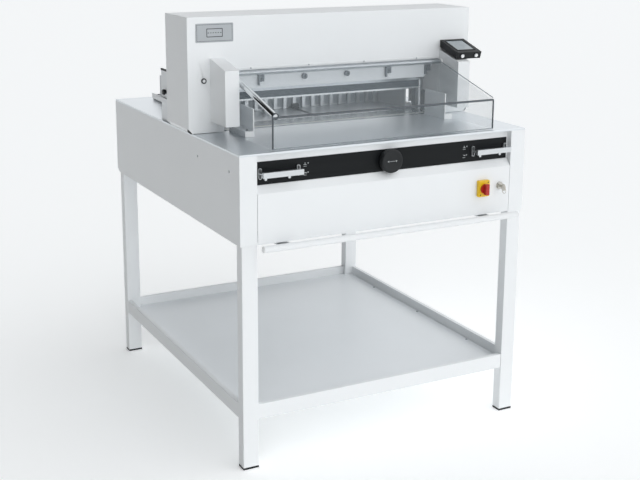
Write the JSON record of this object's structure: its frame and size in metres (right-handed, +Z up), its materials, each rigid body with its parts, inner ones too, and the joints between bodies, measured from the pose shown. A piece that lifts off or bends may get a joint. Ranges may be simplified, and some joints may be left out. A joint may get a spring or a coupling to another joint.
{
  "type": "guillotine paper cutter",
  "caption": "Floor-standing guillotine paper cutter: powered clamp and slicing knife in a tall head, moving back gauge, clear hinged guard, two-hand bars, pedal and open stand with a shelf.",
  "frame": {"origin": "on the floor, under the middle of the whole machine's plan", "axes": "+X to the operator's right, +Y from the front to the back, +Z up"},
  "size_m": [1.012, 1.188, 1.305],
  "materials": {
    "white_paint": "fine powder coat",
    "grey_paint": "fine powder coat",
    "black_plastic": "satin moulded",
    "worktop_steel": "polished",
    "machine_grey": "painted casting",
    "cast_aluminium": "as cast",
    "ground_steel": "ground",
    "dark_steel": "blackened",
    "cutting_stick": "moulded",
    "satin_aluminium": "satin anodised",
    "clear_acrylic": "clear, polished edges",
    "screen": "display window",
    "white_plastic": "moulded",
    "yellow_plastic": "moulded",
    "red_plastic": "moulded",
    "nickel": "bright plated",
    "belt_rubber": "moulded"
  },
  "bodies": {
    "frame": {"legs_front": "white_paint", "legs_rear": "white_paint", "foot_caps": "black_plastic", "shelf_rails": "white_paint", "shelf_panel": "grey_paint", "side_cover_left": "white_paint", "side_cover_right": "white_paint", "front_panel": "white_paint", "recess_panel": "white_paint", "control_strip": "black_plastic", "rear_panel": "white_paint", "bottom_pan": "grey_paint", "base_frame": "machine_grey", "worktop_front": "worktop_steel", "worktop_rear": "worktop_steel", "bed": "machine_grey", "cutting_stick": "cutting_stick", "head_front_cover": "white_paint", "head_hood": "white_paint", "cheek_left": "machine_grey", "cheek_right": "machine_grey", "crossbeam": "machine_grey", "inner_guards": "white_paint", "knife_cylinder": "dark_steel", "clamp_cylinders": "dark_steel", "hydraulic_unit": "cast_aluminium", "gauge_guides": "ground_steel", "gauge_motor": "black_plastic", "drive_belt": "belt_rubber", "side_guides": "satin_aluminium", "guard_blocks": "white_paint", "panel_housing": "black_plastic", "panel_screen": "screen", "bar_brackets": "satin_aluminium", "switch_plate": "yellow_plastic", "lock_barrel": "nickel", "pedal_shaft": "ground_steel", "cable_gland": "black_plastic", "rear_shields": "grey_paint", "electrical_box": "grey_paint"},
    "guard": {"guard_shell": "clear_acrylic", "guard_rod": "ground_steel"},
    "knife": {"knife_carrier": "ground_steel", "knife_blade": "ground_steel", "knife_bolts": "dark_steel", "knife_rod": "ground_steel"},
    "clamp": {"clamp_beam": "machine_grey", "clamp_rods": "ground_steel"},
    "gauge": {"gauge_comb": "satin_aluminium", "gauge_carriage": "machine_grey"},
    "screw": {"lead_screw": "ground_steel"},
    "motor_drive": {"motor_pulley": "ground_steel"},
    "handwheel": {"handwheel": "black_plastic"},
    "bar_left": {"press_bar_left": "satin_aluminium"},
    "bar_right": {"press_bar_right": "satin_aluminium"},
    "button_left": {"panel_button_left": "white_plastic"},
    "button_right": {"panel_button_right": "white_plastic"},
    "main_switch": {"switch_handle": "red_plastic"},
    "key": {"key": "nickel"},
    "pedal": {"pedal": "white_paint"}
  },
  "joints": [
    {"name": "guard_lift", "type": "hinge", "parent": "frame", "child": "guard", "pos_m": [0, -0.212, 1.131], "axis": [-1, 0, 0], "range_deg": [0, 60]},
    {"name": "knife_slide", "type": "slide", "parent": "frame", "child": "knife", "axis": [-0.2079, 0, -0.9781], "range_m": [0, 0.1155], "stiffness_N_per_m": 2500, "springref_m": -0.2},
    {"name": "clamp_slide", "type": "slide", "parent": "frame", "child": "clamp", "axis": [0, 0, -1], "range_m": [0, 0.083], "stiffness_N_per_m": 2500, "springref_m": -0.25},
    {"name": "gauge_slide", "type": "slide", "parent": "frame", "child": "gauge", "axis": [0, 1, 0], "range_m": [-0.19, 0.33]},
    {"name": "screw_turn", "type": "hinge", "parent": "frame", "child": "screw", "pos_m": [0, 0.158, 0.905], "axis": [0, 1, 0], "range_deg": [-6850, 11890]},
    {"name": "motor_turn", "type": "hinge", "parent": "frame", "child": "motor_drive", "pos_m": [0.112, 0.548, 0.905], "axis": [0, 1, 0], "range_deg": [-6850, 11890]},
    {"name": "handwheel_turn", "type": "hinge", "parent": "frame", "child": "handwheel", "pos_m": [0, -0.542, 0.891], "axis": [0, 1, 0], "range_deg": [-45, 45], "stiffness_Nm_per_rad": 0.5},
    {"name": "bar_left_press", "type": "slide", "parent": "frame", "child": "bar_left", "axis": [0, 0, -1], "range_m": [0, 0.011], "stiffness_N_per_m": 300, "springref_m": -0.008},
    {"name": "bar_right_press", "type": "slide", "parent": "frame", "child": "bar_right", "axis": [0, 0, -1], "range_m": [0, 0.011], "stiffness_N_per_m": 300, "springref_m": -0.008},
    {"name": "button_left_press", "type": "slide", "parent": "frame", "child": "button_left", "axis": [0, 0.9563, 0.2924], "range_m": [0, 0.003], "stiffness_N_per_m": 300, "springref_m": -0.001},
    {"name": "button_right_press", "type": "slide", "parent": "frame", "child": "button_right", "axis": [0, 0.9563, 0.2924], "range_m": [0, 0.003], "stiffness_N_per_m": 300, "springref_m": -0.001},
    {"name": "main_switch_turn", "type": "hinge", "parent": "frame", "child": "main_switch", "pos_m": [0.334, -0.542, 0.773], "axis": [0, 1, 0], "range_deg": [0, 90]},
    {"name": "key_turn", "type": "hinge", "parent": "frame", "child": "key", "pos_m": [0.399, -0.542, 0.775], "axis": [0, 1, 0], "range_deg": [0, 90]},
    {"name": "pedal_tilt", "type": "hinge", "parent": "frame", "child": "pedal", "pos_m": [0, -0.292, 0.665], "axis": [1, 0, 0], "range_deg": [0, 12], "stiffness_Nm_per_rad": 30, "springref_deg": -22.92}
  ],
  "couplings": [
    {"joint": "screw_turn", "follows": "gauge_slide", "rad_per_m": 628.32},
    {"joint": "motor_turn", "follows": "gauge_slide", "rad_per_m": 628.32}
  ]
}
